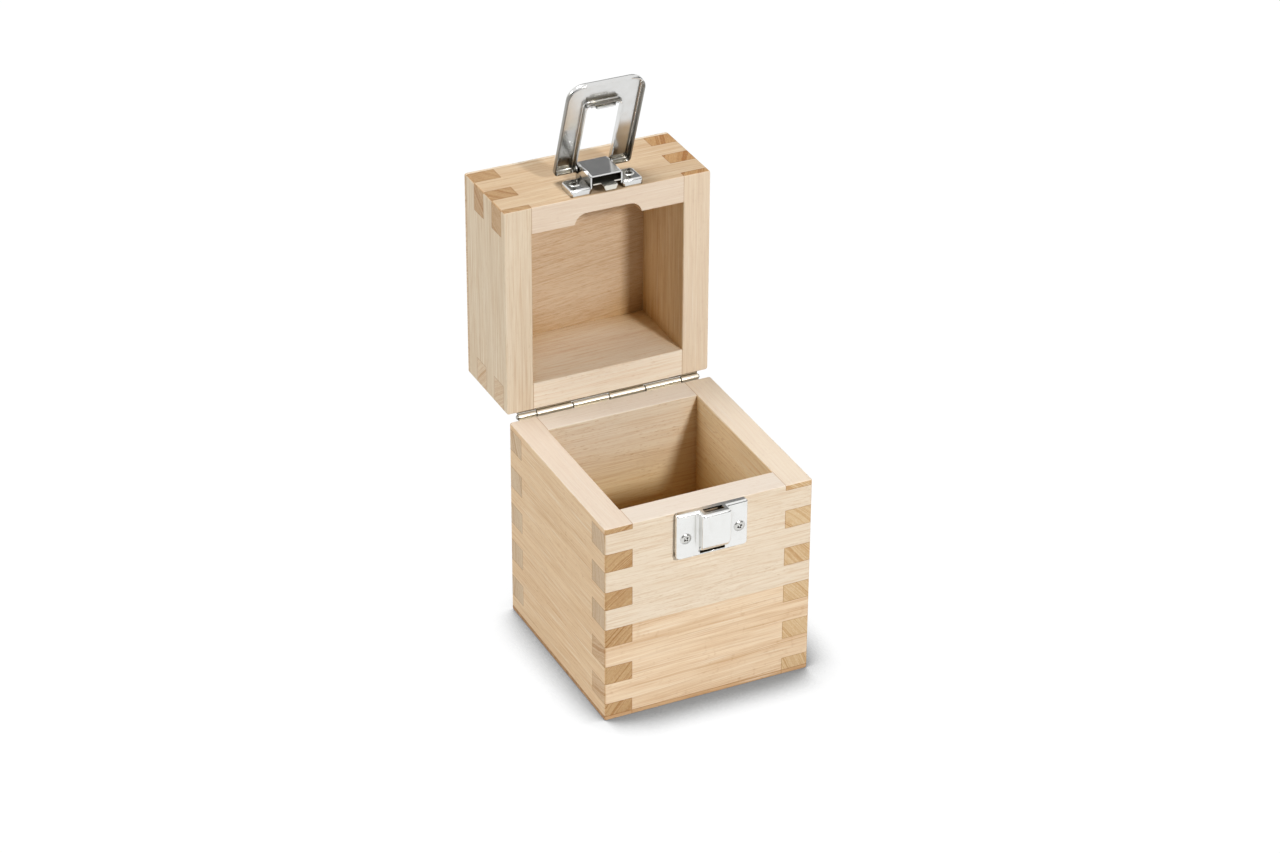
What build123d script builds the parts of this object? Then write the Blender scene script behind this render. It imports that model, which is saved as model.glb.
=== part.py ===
from build123d import *
import math
import os

# Wooden case for one tall weight: a finger-jointed box with a hinged lid and a draw latch.
# Frame: origin at the centre of the underside of the base, X to the right, the front faces -Y, Z up.
# The rest pose has the lid standing open and the latch lever raised.

# Box
case_width = 104.0
case_depth = 105.0
wall = 13.6
base_wall_height = 100.0
lid_wall_height = 43.5
plate_thickness = 2.5
corner_radius = 1.2
rim_radius = 0.7
plate_edge_radius = 1.0
mouth_bevel = 0.4

# Finger joints, cut before the lid was sawn off the box
finger_pitch = 20.0
end_grain_finger = 9.3
thinnest_finger = 0.5
glue_line_finger = 4
first_finger_below_rim = 18.0
saw_kerf = 3.0

# Relief for the weight's knob in the inside of the lid's front wall
relief_depth = 5.3
relief_half_width = 11.0
relief_cutter_radius = 6.0
relief_height = 24.0

# Strip hinge on the back
opening_angle = 90.0
rim_gap = 0.15
hinge_margin = 5.25
knuckle_count = 5
knuckle_radius = 2.0
knuckle_wood_gap = 0.4
knuckle_gap = 0.3
pin_radius = 1.0
pin_overhang = 0.6
pin_chamfer = 0.3
leaf_thickness = 0.9
leaf_height = 15.0
leaf_corner = 2.0
leaf_screw_inset = 12.75
leaf_screw_drop = 9.0
stop_height = 0.6
stop_thickness = 0.8
stop_root = 0.4
stop_clearance = 0.05

# Screws; a cover is the wood left past the point
plate_screw_head = 2.9
plate_screw_shank = 1.5
plate_screw_cover = 0.35
leaf_screw_head = 2.4
leaf_screw_shank = 1.25
leaf_screw_cover = 4.5
head_edge = 0.15
cone_depth = 1.4
point_length = 3.0
point_radius = 0.3
cross_width = 0.7
cross_depth = 1.0
cross_share = 0.575

# Sheet metal of the latch
sheet = 0.7
pan_corner = 2.0
pan_edge_radius = 1.0
fit_clearance = 0.05
running_clearance = 0.25

# Catch plate on the base
catch_half_width = 17.9
catch_height = 23.6
catch_drop = 0.15
catch_depth = 3.1
cap_step = 0.8
cap_depth = 8.0
cap_height = 21.0
cap_bottom_radius = 3.6
cap_edge_radius = 0.9
slot_near = 2.2
slot_room = 0.5
slot_half_width = 4.8
slit_half_width = 6.3
slit_depth = 1.3
slit_below = 1.0
slit_above = 1.5
catch_screw_x = 13.4
catch_screw_drop = 12.9

# Latch plate on the lid, with its raised hood
latch_half_width = 18.1
latch_start = 1.3
latch_end = 13.1
latch_depth = 3.35
hood_half_width = 8.0
hood_start = 2.0
hood_end = 18.4
hood_depth = 8.5
hood_edge_radius = 0.9
latch_screw_x = 13.8
latch_screw_rise = 7.4

# Lever, given as it lies when it is pressed flat
lever_raise = 70.5
pivot_rise = 17.0
pivot_depth = 5.95
lever_half_width = 19.3
lever_tail = 2.2
lever_length = 54.6
lever_under = 5.7
lever_depth = 3.2
lever_corner = 8.0
lever_tail_corner = 1.5
lever_gap = 0.6
lever_gap_corner = 1.0
lever_edge_radius = 1.1
lug_radius = 2.0
lug_ring = 0.4
tongue_half_width = 4.4
tongue_root_half_width = 7.6
tongue_shoulder = 2.6
tongue_shoulder_ease = 0.4
tongue_end_depth = 3.5
tongue_bend_radius = 1.6
tongue_overlap = 1.0
tongue_clearance = 0.35

# Crank pin and claw
journal_radius = 1.2
journal_overhang = 0.3
crank_radius = 1.0
crank_throw = 1.5
crank_angle = 184.75
crank_half_length = 4.0
crank_web = 0.8
claw_sheet = 0.6
claw_side_gap = 0.3
claw_front = 1.15
claw_shoulder = 11.0
claw_corner = 2.0
nose_side_room = 2.3
nose_taper = 0.8
nose_clearance = 0.3
lip_clearance = 0.1

# How far a cut runs past the face that it opens, or a join into the piece that it meets
beyond = 1.0

rim_z = plate_thickness + base_wall_height
lid_rim_z = rim_z + rim_gap
lid_ceiling_z = lid_rim_z + lid_wall_height
lid_top_z = lid_ceiling_z + plate_thickness
half_w = case_width / 2
half_d = case_depth / 2
inner_x = half_w - wall
inner_y = half_d - wall
hinge_y = half_d + knuckle_radius + knuckle_wood_gap
hinge_z = rim_z + rim_gap / 2
hinge_axis = Axis((0, hinge_y, hinge_z), (1, 0, 0))
pivot_y = -half_d - pivot_depth
pivot_z = lid_rim_z + pivot_rise
pivot_axis = Axis((0, pivot_y, pivot_z), (1, 0, 0))

# Head radius, shank radius and length of each kind of screw
plate_screw = (plate_screw_head, plate_screw_shank, latch_depth + wall - relief_depth - plate_screw_cover)
leaf_screw = (leaf_screw_head, leaf_screw_shank, leaf_thickness + wall - leaf_screw_cover)


def block(x0, x1, y0, y1, z0, z1):
    """A box between two corners."""
    size = Box(x1 - x0, y1 - y0, z1 - z0)
    return Pos((x0 + x1) / 2, (y0 + y1) / 2, (z0 + z1) / 2) * size


def cylinder_x(radius, x0, x1, y, z):
    """A cylinder that lies along X."""
    return Pos((x0 + x1) / 2, y, z) * Rot(0, 90, 0) * Cylinder(radius, x1 - x0)


def opened(shape):
    """Turns what was drawn on the closed lid to where it stands with the lid open."""
    return shape.rotate(hinge_axis, -opening_angle)


def end_grain_bands(first, low, high):
    """Heights, clipped to low and high, where the side walls' fingers reach the front."""
    bands = []
    steps = int((high - low) / finger_pitch) + 2
    for step in range(-steps, steps + 1):
        centre = first + step * finger_pitch
        start = max(low, centre - end_grain_finger / 2)
        end = min(high, centre + end_grain_finger / 2)
        if end - start > thinnest_finger:
            bands.append((start, end))
    return bands


def wooden_frame(low, high, bands, rounded):
    """Four walls between two heights, joined at the corners by the fingers in bands."""
    walls = {
        "front": block(-inner_x, inner_x, -half_d, -inner_y, low, high),
        "back": block(-inner_x, inner_x, inner_y, half_d, low, high),
        "left": block(-half_w, -inner_x, -inner_y, inner_y, low, high),
        "right": block(inner_x, half_w, -inner_y, inner_y, low, high),
    }
    for side, x0, x1 in (("left", -half_w, -inner_x), ("right", inner_x, half_w)):
        for end, y0, y1 in (("front", -half_d, -inner_y), ("back", inner_y, half_d)):
            corner = block(x0, x1, y0, y1, low, high)
            fingers = corner & Compound([block(x0, x1, y0, y1, *band) for band in bands])
            walls[side] += fingers
            walls[end] += corner - fingers
    return {name: shape & rounded for name, shape in walls.items()}


def rounded_body(low, high, radius_low, radius_high):
    """The outside of the box between two heights, with its edges eased."""
    body = block(-half_w, half_w, -half_d, half_d, low, high)
    body = fillet(body.edges().filter_by(Axis.Z), corner_radius)
    body = fillet(body.faces().sort_by(Axis.Z)[-1].edges(), radius_high)
    return fillet(body.faces().sort_by(Axis.Z)[0].edges(), radius_low)


def mouth(z, up):
    """The bevel round the inside edge of a rim, opening towards up (1) or down (-1)."""
    wide = Rectangle(2 * (inner_x + mouth_bevel), 2 * (inner_y + mouth_bevel))
    narrow = Rectangle(2 * inner_x, 2 * inner_y)
    return loft([Pos(0, 0, z) * wide, Pos(0, 0, z - up * mouth_bevel) * narrow])


def screw(sizes):
    """A countersunk cross-head screw: its head's face at Z 0, its point down."""
    head, shank, length = sizes
    profile = Polyline((0, 0), (head, 0), (head, -head_edge), (shank, -cone_depth),
                       (shank, point_length - length), (point_radius, -length), (0, -length), close=True)
    body = revolve(Plane.XZ * make_face(profile), Axis.Z)
    for turn in (45, -45):
        body -= Rot(0, 0, turn) * Box(2 * cross_share * head, cross_width, 2 * cross_depth)
    return body


def screw_seat(sizes):
    """What a screw takes out of the sheet and wood around it."""
    head, shank, length = sizes
    wide_head, wide_shank = head + fit_clearance, shank + fit_clearance
    wide_point, end = point_radius + fit_clearance, -length - fit_clearance
    profile = Polyline((0, beyond), (wide_head, beyond), (wide_head, -head_edge), (wide_shank, -cone_depth),
                       (wide_shank, point_length - length), (wide_point, end), (0, end), close=True)
    return revolve(Plane.XZ * make_face(profile), Axis.Z)


def on_front(x, z, depth):
    """The place of a screw driven into the front, its head depth outside the wood."""
    return Pos(x, -half_d - depth, z) * Rot(90, 0, 0)


def on_back(x, z, depth):
    """The place of a screw driven into the back, its head depth outside the wood."""
    return Pos(x, half_d + depth, z) * Rot(-90, 0, 0)


def drilled(shape, spots, sizes):
    """The shape with a seat for each screw."""
    for spot in spots:
        shape -= spot * screw_seat(sizes)
    return shape


# Hinge lengths and screw places
hinge_half = half_w - hinge_margin
leaf_screw_x = hinge_half - leaf_screw_inset
leaf_xs = (-leaf_screw_x, 0, leaf_screw_x)
catch_spots = [on_front(x, rim_z - catch_screw_drop, catch_depth)
               for x in (-catch_screw_x, catch_screw_x)]
latch_spots = [on_front(x, lid_rim_z + latch_screw_rise, latch_depth)
               for x in (-latch_screw_x, latch_screw_x)]
base_leaf_spots = [on_back(x, hinge_z - leaf_screw_drop, leaf_thickness) for x in leaf_xs]
lid_leaf_spots = [on_back(x, hinge_z + leaf_screw_drop, leaf_thickness) for x in leaf_xs]

parts = {}

# Base: four finger-jointed walls; the front one is glued up from two staves
first_base = rim_z - first_finger_below_rim
base_bands = end_grain_bands(first_base, plate_thickness, rim_z)
base_body = rounded_body(0, rim_z, plate_edge_radius, rim_radius)
base_walls = wooden_frame(plate_thickness, rim_z, base_bands, base_body)
base_mouth = mouth(rim_z, 1)
for name, shape in base_walls.items():
    base_walls[name] = shape - base_mouth
base_walls["front"] = drilled(base_walls["front"], catch_spots, plate_screw)
base_walls["back"] = drilled(base_walls["back"], base_leaf_spots, leaf_screw)
glue_z = base_bands[-glue_line_finger][1]
upper_stave = block(-half_w, half_w, -half_d, 0, glue_z, rim_z)
lower_stave = block(-half_w, half_w, -half_d, 0, plate_thickness, glue_z)
parts["base_front_wall_upper"] = base_walls["front"] & upper_stave
parts["base_front_wall_lower"] = base_walls["front"] & lower_stave
parts["base_back_wall"] = base_walls["back"]
parts["base_left_wall"] = base_walls["left"]
parts["base_right_wall"] = base_walls["right"]
parts["base_bottom_plate"] = base_body & block(-half_w, half_w, -half_d, half_d, 0, plate_thickness)

# Lid: the top of the same box, sawn off, drawn closed and then opened
first_lid = lid_rim_z + finger_pitch * 2 - first_finger_below_rim - saw_kerf
lid_bands = end_grain_bands(first_lid, lid_rim_z, lid_ceiling_z)
lid_body = rounded_body(lid_rim_z, lid_top_z, rim_radius, plate_edge_radius)
lid_walls = wooden_frame(lid_rim_z, lid_ceiling_z, lid_bands, lid_body)
lid_mouth = mouth(lid_rim_z, -1)
for name, shape in lid_walls.items():
    lid_walls[name] = shape - lid_mouth

relief_floor = -inner_y - relief_depth
relief_end = -inner_y + relief_cutter_radius
relief_outline = Pos(0, (relief_floor + relief_end) / 2) * Rectangle(
    2 * (relief_half_width + relief_cutter_radius), relief_end - relief_floor)
relief_outline = fillet(relief_outline.vertices().group_by(Axis.Y)[0], relief_cutter_radius)
relief = Pos(0, 0, lid_rim_z - beyond) * extrude(relief_outline, relief_height + beyond)
lid_walls["front"] = drilled(lid_walls["front"] - relief, latch_spots, plate_screw)
lid_walls["back"] = drilled(lid_walls["back"], lid_leaf_spots, leaf_screw)
for name, shape in lid_walls.items():
    parts[f"lid_{name}_wall"] = opened(shape)
lid_plate = lid_body & block(-half_w, half_w, -half_d, half_d, lid_ceiling_z, lid_top_z)
parts["lid_top_plate"] = opened(lid_plate)

# Strip hinge: the two leaves share their knuckles in turn, with a half knuckle at each end
knuckle_length = 2 * hinge_half / knuckle_count
joints_x = [-hinge_half]
for step in range(knuckle_count):
    joints_x.append(-hinge_half + knuckle_length * (step + 0.5))
joints_x.append(hinge_half)
spans = list(zip(joints_x[:-1], joints_x[1:]))


def hinge_leaf(up, own_spans):
    """A leaf drawn with the lid closed; up is 1 for the lid's leaf and -1 for the base's."""
    near = half_d
    far = half_d + leaf_thickness
    edge = hinge_z + up * (knuckle_radius + fit_clearance)
    end = hinge_z + up * leaf_height
    leaf = block(-hinge_half, hinge_half, near, far, min(edge, end), max(edge, end))
    outer_edges = leaf.edges().filter_by(Axis.Y).group_by(Axis.Z)[-1 if up > 0 else 0]
    leaf = fillet(outer_edges, leaf_corner)
    for x0, x1 in own_spans:
        start = x0 + knuckle_gap / 2
        finish = x1 - knuckle_gap / 2
        leaf += block(start, finish, near, far, min(hinge_z, edge), max(hinge_z, edge))
        leaf += cylinder_x(knuckle_radius, start, finish, hinge_y, hinge_z)
        if up > 0:
            leaf += stop_bead(start, finish)
    bore = cylinder_x(pin_radius + fit_clearance, -hinge_half - beyond, hinge_half + beyond, hinge_y, hinge_z)
    return leaf - bore


def stop_bead(start, finish):
    """The end of the rolled sheet, which meets the base's leaf when the lid stands open."""
    near = half_d + leaf_thickness + stop_clearance
    top = hinge_z - knuckle_radius + stop_root
    low = hinge_z - knuckle_radius - stop_height
    bead = block(start, finish, near, near + stop_thickness, low, top)
    return bead.rotate(hinge_axis, opening_angle)


parts["hinge_leaf_base"] = drilled(hinge_leaf(-1, spans[0::2]), base_leaf_spots, leaf_screw)
parts["hinge_leaf_lid"] = opened(drilled(hinge_leaf(1, spans[1::2]), lid_leaf_spots, leaf_screw))
pin_half = hinge_half + pin_overhang
pin = cylinder_x(pin_radius, -pin_half, pin_half, hinge_y, hinge_z)
parts["hinge_pin"] = chamfer(pin.edges().filter_by(GeomType.CIRCLE), pin_chamfer)
parts["hinge_screws_base"] = Compound([spot * screw(leaf_screw) for spot in base_leaf_spots])
parts["hinge_screws_lid"] = Compound([opened(spot * screw(leaf_screw)) for spot in lid_leaf_spots])

# Crank: its middle is offset from the lever's pivot, and carries the claw
crank_y = pivot_y - crank_throw * math.sin(math.radians(crank_angle))
crank_z = pivot_z + crank_throw * math.cos(math.radians(crank_angle))
eye_inner = crank_radius + fit_clearance
eye_outer = eye_inner + claw_sheet
shank_near = -half_d - crank_y - eye_outer
shank_far = shank_near + claw_sheet


def front_block(x0, x1, d0, d1, z0, z1):
    """A box on the front, between depths d0 and d1 outside the wood."""
    return block(x0, x1, -half_d - d1, -half_d - d0, z0, z1)


def pan(half_width, low, high, depth, corner_end, inset):
    """A shallow pressed pan, or with an inset its hollow; corner_end 0 or -1 has the round corners."""
    body = front_block(inset - half_width, half_width - inset, 0, depth - inset, low + inset, high - inset)
    corners = body.edges().filter_by(Axis.Y).group_by(Axis.Z)[corner_end]
    body = fillet(corners, pan_corner - inset)
    return fillet(body.faces().sort_by(Axis.Y)[0].edges(), pan_edge_radius - inset)


# Catch plate: a stamped pan with a hollow cap, slotted on top for the claw
catch_top = rim_z - catch_drop
catch_low = catch_top - catch_height
cap_half_width = hood_half_width - cap_step
cap_low = catch_top - cap_height


def cap_solid(inset):
    """The cap's outside, or with an inset its hollow; its foot curls in towards the wood."""
    half = cap_half_width - inset
    face = -half_d - cap_depth + inset
    top = catch_top - inset
    low = cap_low + inset
    radius = cap_bottom_radius - inset
    outline = make_face([
        Line((-half_d, top), (face, top)),
        Line((face, top), (face, low + radius)),
        RadiusArc((face, low + radius), (face + radius, low), radius),
        Line((face + radius, low), (-half_d, low)),
        Line((-half_d, low), (-half_d, top)),
    ])
    return Pos(-half, 0, 0) * extrude(Plane.YZ * outline, 2 * half)


cap = cap_solid(0)
cap_edges = cap.faces().sort_by(Axis.Y)[0].edges()
cap = fillet(cap_edges.filter_by(Axis.Z) + cap_edges.sort_by(Axis.Z)[-1:], cap_edge_radius)
slot = front_block(-slot_half_width, slot_half_width, slot_near, shank_far + slot_room,
                   catch_top - sheet - beyond, catch_top + beyond)
slit = front_block(-slit_half_width, slit_half_width, catch_depth, catch_depth + slit_depth,
                   cap_low - slit_below, cap_low + slit_above)
catch = pan(catch_half_width, catch_low, catch_top, catch_depth, 0, 0) + cap
catch -= pan(catch_half_width, catch_low, catch_top, catch_depth, 0, sheet)
catch = catch - cap_solid(sheet) - slot - slit
parts["catch_plate"] = drilled(catch, catch_spots, plate_screw)
parts["catch_screws"] = Compound([spot * screw(plate_screw) for spot in catch_spots])

# Latch plate: two ears and a hood that is open at its front and back
ear_low = lid_rim_z + latch_start
ear_high = lid_rim_z + latch_end
hood_low = lid_rim_z + hood_start
hood_high = lid_rim_z + hood_end
hood_inner = hood_half_width - sheet
ring_radius = lug_radius + lug_ring
hood = front_block(-hood_half_width, hood_half_width, 0, hood_depth, hood_low, hood_high)
hood = fillet(hood.faces().sort_by(Axis.Y)[0].edges().filter_by(Axis.Z), hood_edge_radius)
for x0, x1 in ((-hood_half_width, -hood_inner), (hood_inner, hood_half_width)):
    hood += cylinder_x(ring_radius, x0, x1, pivot_y, pivot_z)
    hood += front_block(x0, x1, 0, pivot_depth, hood_high - beyond, pivot_z + ring_radius)
inside_hood = front_block(-hood_inner, hood_inner, -beyond, hood_depth - sheet,
                          ear_low - beyond, pivot_z + ring_radius + beyond)
latch = pan(latch_half_width, ear_low, ear_high, latch_depth, -1, 0) + hood
latch -= pan(latch_half_width, ear_low, ear_high, latch_depth, -1, sheet)
latch -= inside_hood
latch -= cylinder_x(journal_radius + fit_clearance, -hood_half_width - beyond, hood_half_width + beyond,
                    pivot_y, pivot_z)
parts["latch_plate"] = opened(drilled(latch, latch_spots, plate_screw))
parts["latch_screws"] = Compound([opened(spot * screw(plate_screw)) for spot in latch_spots])

# Lever: a pressed channel bent into a loop, with a tongue that goes under the catch's cap
lever_back = pivot_rise + lever_tail
lever_front = lever_back - lever_length
tongue_face_z = cap_low - tongue_clearance
loop_end = tongue_face_z - tongue_bend_radius - lid_rim_z
leg_inner = hood_half_width + lever_gap


def lever_outline(inset):
    """The loop seen from the front, flat; an inset gives the channel's hollow."""
    half = lever_half_width - inset
    low = lever_front + inset
    high = lever_back - inset
    plate = Pos(0, (low + high) / 2) * Rectangle(2 * half, high - low)
    plate = fillet(plate.vertices().group_by(Axis.Y)[0], lever_corner - inset)
    if inset == 0:
        plate = fillet(plate.vertices().group_by(Axis.Y)[-1], lever_tail_corner)
    gap_low = loop_end - inset
    gap_high = high + lever_gap_corner + inset
    gap = Pos(0, (gap_low + gap_high) / 2) * Rectangle(2 * (leg_inner + inset), gap_high - gap_low)
    return plate - fillet(gap.vertices().group_by(Axis.Y)[0], lever_gap_corner + inset)


def lifted(sketch, depth, height):
    """A front outline, in X and height over the lid's rim, made a solid over the wood."""
    place = Plane(origin=(0, -half_d - depth, lid_rim_z), x_dir=(1, 0, 0), z_dir=(0, -1, 0))
    return extrude(place * sketch, height)


channel = lifted(lever_outline(0), lever_under, lever_depth)
channel = fillet(channel.faces().sort_by(Axis.Y)[0].edges(), lever_edge_radius)
hollow = lifted(lever_outline(sheet), lever_under, lever_depth - sheet)
hollow = fillet(hollow.faces().sort_by(Axis.Y)[0].edges(), lever_edge_radius - sheet)
lever = channel - hollow
for x0, x1 in ((-leg_inner - sheet, -leg_inner), (leg_inner, leg_inner + sheet)):
    lever += cylinder_x(lug_radius, x0, x1, pivot_y, pivot_z)

# The tongue hangs from the loop's end and reaches down just under the catch's cap
lever_face_y = -half_d - lever_under - lever_depth
tip_y = -half_d - tongue_end_depth
bend = tongue_bend_radius
root_z = tongue_face_z - bend
low_z = root_z - tongue_overlap
tongue_section = make_face([
    Line((lever_face_y, low_z), (lever_face_y, root_z)),
    RadiusArc((lever_face_y, root_z), (lever_face_y + bend, tongue_face_z), bend),
    Line((lever_face_y + bend, tongue_face_z), (tip_y, tongue_face_z)),
    Line((tip_y, tongue_face_z), (tip_y, tongue_face_z - sheet)),
    Line((tip_y, tongue_face_z - sheet), (lever_face_y + bend, tongue_face_z - sheet)),
    RadiusArc((lever_face_y + bend, tongue_face_z - sheet), (lever_face_y + sheet, root_z), -(bend - sheet)),
    Line((lever_face_y + sheet, root_z), (lever_face_y + sheet, low_z)),
    Line((lever_face_y + sheet, low_z), (lever_face_y, low_z)),
])
tongue = Pos(-tongue_root_half_width, 0, 0) * extrude(Plane.YZ * tongue_section, 2 * tongue_root_half_width)
shoulder_y = lever_face_y + tongue_shoulder
neck_y = shoulder_y + (tongue_root_half_width - tongue_half_width) / 2
for side in (-1, 1):
    beyond_x = side * (tongue_root_half_width + beyond)
    root_x = side * tongue_root_half_width
    middle_x = side * (tongue_root_half_width + tongue_half_width) / 2
    neck_x = side * tongue_half_width
    beside_tongue = make_face(Polyline(
        (beyond_x, shoulder_y), (root_x, shoulder_y), (middle_x, shoulder_y + tongue_shoulder_ease),
        (neck_x, neck_y + tongue_shoulder_ease), (neck_x, tip_y + beyond), (beyond_x, tip_y + beyond),
        close=True))
    tongue -= Pos(0, 0, low_z - beyond) * extrude(beside_tongue, tongue_overlap + bend + 2 * beyond)
lever += tongue

journal_end = leg_inner + sheet + journal_overhang
journals = cylinder_x(journal_radius, -journal_end, journal_end, pivot_y, pivot_z)
lever = (lever - journals).rotate(pivot_axis, -lever_raise)
parts["latch_lever"] = opened(lever)

# Crank pin: fixed in the lever, turning in the hood
eye_gap = front_block(-crank_half_length, crank_half_length, 0, hood_depth,
                      pivot_z - hood_depth, pivot_z + hood_depth)
crank = journals.rotate(pivot_axis, -lever_raise) - eye_gap
crank_end = crank_half_length + crank_web
crank += cylinder_x(crank_radius, -crank_end, crank_end, crank_y, crank_z)
parts["latch_crank_pin"] = opened(crank)

# Claw: a flat shank rolled round the crank, and a nose turned in towards the wood
claw_half_width = hood_inner - claw_side_gap
nose_half_width = slot_half_width - nose_side_room
neck_half_width = nose_half_width + nose_taper
eye_half = crank_half_length - running_clearance
turned = math.radians(crank_angle + lever_raise)
draw = crank_throw * (math.cos(turned) - math.cos(math.radians(crank_angle)))
nose_top = catch_top - sheet - lip_clearance - draw
nose_low = nose_top - claw_sheet
nose_near = slot_near + nose_clearance
front_z = lid_rim_z + claw_front
shoulder_z = lid_rim_z + claw_shoulder
claw = front_block(-claw_half_width, claw_half_width, shank_near, shank_far, front_z, shoulder_z)
claw = fillet(claw.edges().filter_by(Axis.Y).group_by(Axis.Z)[-1], claw_corner)
claw += front_block(-eye_half, eye_half, shank_near, shank_far, shoulder_z - beyond, crank_z)
claw += cylinder_x(eye_outer, -eye_half, eye_half, crank_y, crank_z)
claw -= cylinder_x(eye_inner, -eye_half - beyond, eye_half + beyond, crank_y, crank_z)
claw += front_block(-neck_half_width, neck_half_width, shank_near, shank_far, nose_low, front_z + beyond)
nose_outline = make_face(Polyline(
    (-neck_half_width, -half_d - shank_far), (neck_half_width, -half_d - shank_far),
    (neck_half_width, -half_d - shank_near), (nose_half_width, -half_d - nose_near),
    (-nose_half_width, -half_d - nose_near), (-neck_half_width, -half_d - shank_near), close=True))
claw += Pos(0, 0, nose_low) * extrude(nose_outline, claw_sheet)
parts["latch_claw"] = opened(claw)

os.makedirs("parts", exist_ok=True)
for name, shape in parts.items():
    export_step(shape, f"parts/{name}.step")
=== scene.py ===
import math

import bmesh
import bpy
from mathutils import Matrix, Vector


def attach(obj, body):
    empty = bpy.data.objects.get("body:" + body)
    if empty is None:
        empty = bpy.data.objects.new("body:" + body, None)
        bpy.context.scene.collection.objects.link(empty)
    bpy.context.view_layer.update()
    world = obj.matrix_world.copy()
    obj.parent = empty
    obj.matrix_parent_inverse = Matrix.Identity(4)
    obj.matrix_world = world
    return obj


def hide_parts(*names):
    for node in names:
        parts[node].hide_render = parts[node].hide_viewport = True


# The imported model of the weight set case: a beech box on the floor with its lid standing open.
# The frame is in metres: X to the right, the front faces -Y, Z up. New pieces are drawn in mm,
# as they lie on the closed box, and piece() turns them to where they are at rest.
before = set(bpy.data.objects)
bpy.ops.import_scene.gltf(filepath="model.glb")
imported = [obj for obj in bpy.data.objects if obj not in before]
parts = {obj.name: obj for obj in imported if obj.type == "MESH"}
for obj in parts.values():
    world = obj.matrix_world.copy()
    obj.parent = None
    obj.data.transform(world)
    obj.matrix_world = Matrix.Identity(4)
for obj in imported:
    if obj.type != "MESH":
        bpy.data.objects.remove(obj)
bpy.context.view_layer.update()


# The picture: a camera in front, to the left and above, and a plain white studio. The floor and
# the surroundings are white to the eye, and light the case softly.
def put(tree, kind, links=None, **settings):
    """A new node: settings are its own properties, links fill its inputs by number or name."""
    made = tree.nodes.new(kind)
    for key, value in settings.items():
        setattr(made, key, value)
    for socket, value in (links or {}).items():
        if isinstance(value, bpy.types.NodeSocket):
            tree.links.new(value, made.inputs[socket])
        else:
            made.inputs[socket].default_value = value
    return made


def calc(tree, operation, *values, clamp=False):
    """The result of a Math node."""
    made = put(tree, "ShaderNodeMath", dict(enumerate(values)), operation=operation, use_clamp=clamp)
    return made.outputs[0]


def fade(tree, value, start, end, low=0.0, high=1.0):
    """A value that runs smoothly from low at start to high at end."""
    made = put(tree, "ShaderNodeMapRange",
               {"Value": value, "From Min": start, "From Max": end, "To Min": low, "To Max": high},
               interpolation_type="SMOOTHSTEP")
    return made.outputs[0]


def tint(tree, blend, amount, below, over):
    """A colour mixed with another."""
    made = put(tree, "ShaderNodeMix", {0: amount, 6: below, 7: over}, data_type="RGBA", blend_type=blend)
    return made.outputs[2]


def looked_at(tree):
    """1 to the eye, in a reflection and through glass, and 0 for the light that is given off."""
    path = put(tree, "ShaderNodeLightPath").outputs
    seen = calc(tree, "ADD", path["Is Camera Ray"], path["Is Glossy Ray"], clamp=True)
    return calc(tree, "ADD", seen, path["Is Transmission Ray"], clamp=True)


scene = bpy.context.scene
scene.view_settings.view_transform = "Standard"

camera_turn = math.radians(-25.575)
camera_rise = math.radians(30.177)
camera_roll = math.radians(0.267)
camera_place = Vector((-0.66171, -1.36213, 0.99575))
backwards = Vector((
    math.sin(camera_turn) * math.cos(camera_rise),
    -math.cos(camera_turn) * math.cos(camera_rise),
    math.sin(camera_rise),
))
sideways = Vector((0, 0, 1)).cross(backwards).normalized()
upwards = backwards.cross(sideways)
right = math.cos(camera_roll) * sideways + math.sin(camera_roll) * upwards
above = math.cos(camera_roll) * upwards - math.sin(camera_roll) * sideways
lens = bpy.data.cameras.new("camera")
lens.lens = 107.8
lens.sensor_width = 36.0
lens.clip_start = 0.01
camera = bpy.data.objects.new("camera", lens)
turned = Matrix((right, above, backwards)).transposed().to_4x4()
camera.matrix_world = Matrix.Translation(camera_place) @ turned
scene.collection.objects.link(camera)
scene.camera = camera

white = (1, 1, 1, 1)
air_light = 0.17
air_hue = (1.0, 0.86, 0.62, 1)
surroundings = bpy.data.worlds.new("surroundings")
scene.world = surroundings
surroundings.use_nodes = True
air = surroundings.node_tree
air.nodes.clear()
seen = looked_at(air)
strength = put(air, "ShaderNodeMapRange", {"Value": seen, "To Min": air_light, "To Max": 1.0})
hue = tint(air, "MIX", seen, air_hue, white)
glow = put(air, "ShaderNodeBackground", {"Color": hue, "Strength": strength.outputs[0]})
put(air, "ShaderNodeOutputWorld", {"Surface": glow.outputs[0]})


def lamp(name, place, size, power, colour):
    """A square lamp that points at the middle of the case."""
    light = bpy.data.lights.new(name, "AREA")
    light.shape = "SQUARE"
    light.size = size
    light.energy = power
    light.color = colour
    holder = bpy.data.objects.new(name, light)
    holder.location = place
    holder.rotation_euler = (Vector(place) - Vector(case_middle)).to_track_quat("Z", "Y").to_euler()
    scene.collection.objects.link(holder)


case_middle = (0, 0.02, 0.13)
lamp("key_light", (0.47, -1.9, 1.15), size=0.24, power=29.5, colour=(1.0, 0.99, 0.97))
lamp("top_light", (-0.35, 0.35, 2.2), size=0.9, power=20.5, colour=(0.98, 0.99, 1.0))
lamp("left_light", (-2.05, 0.55, 1.05), size=1.0, power=17.0, colour=(0.98, 0.99, 1.0))

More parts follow.
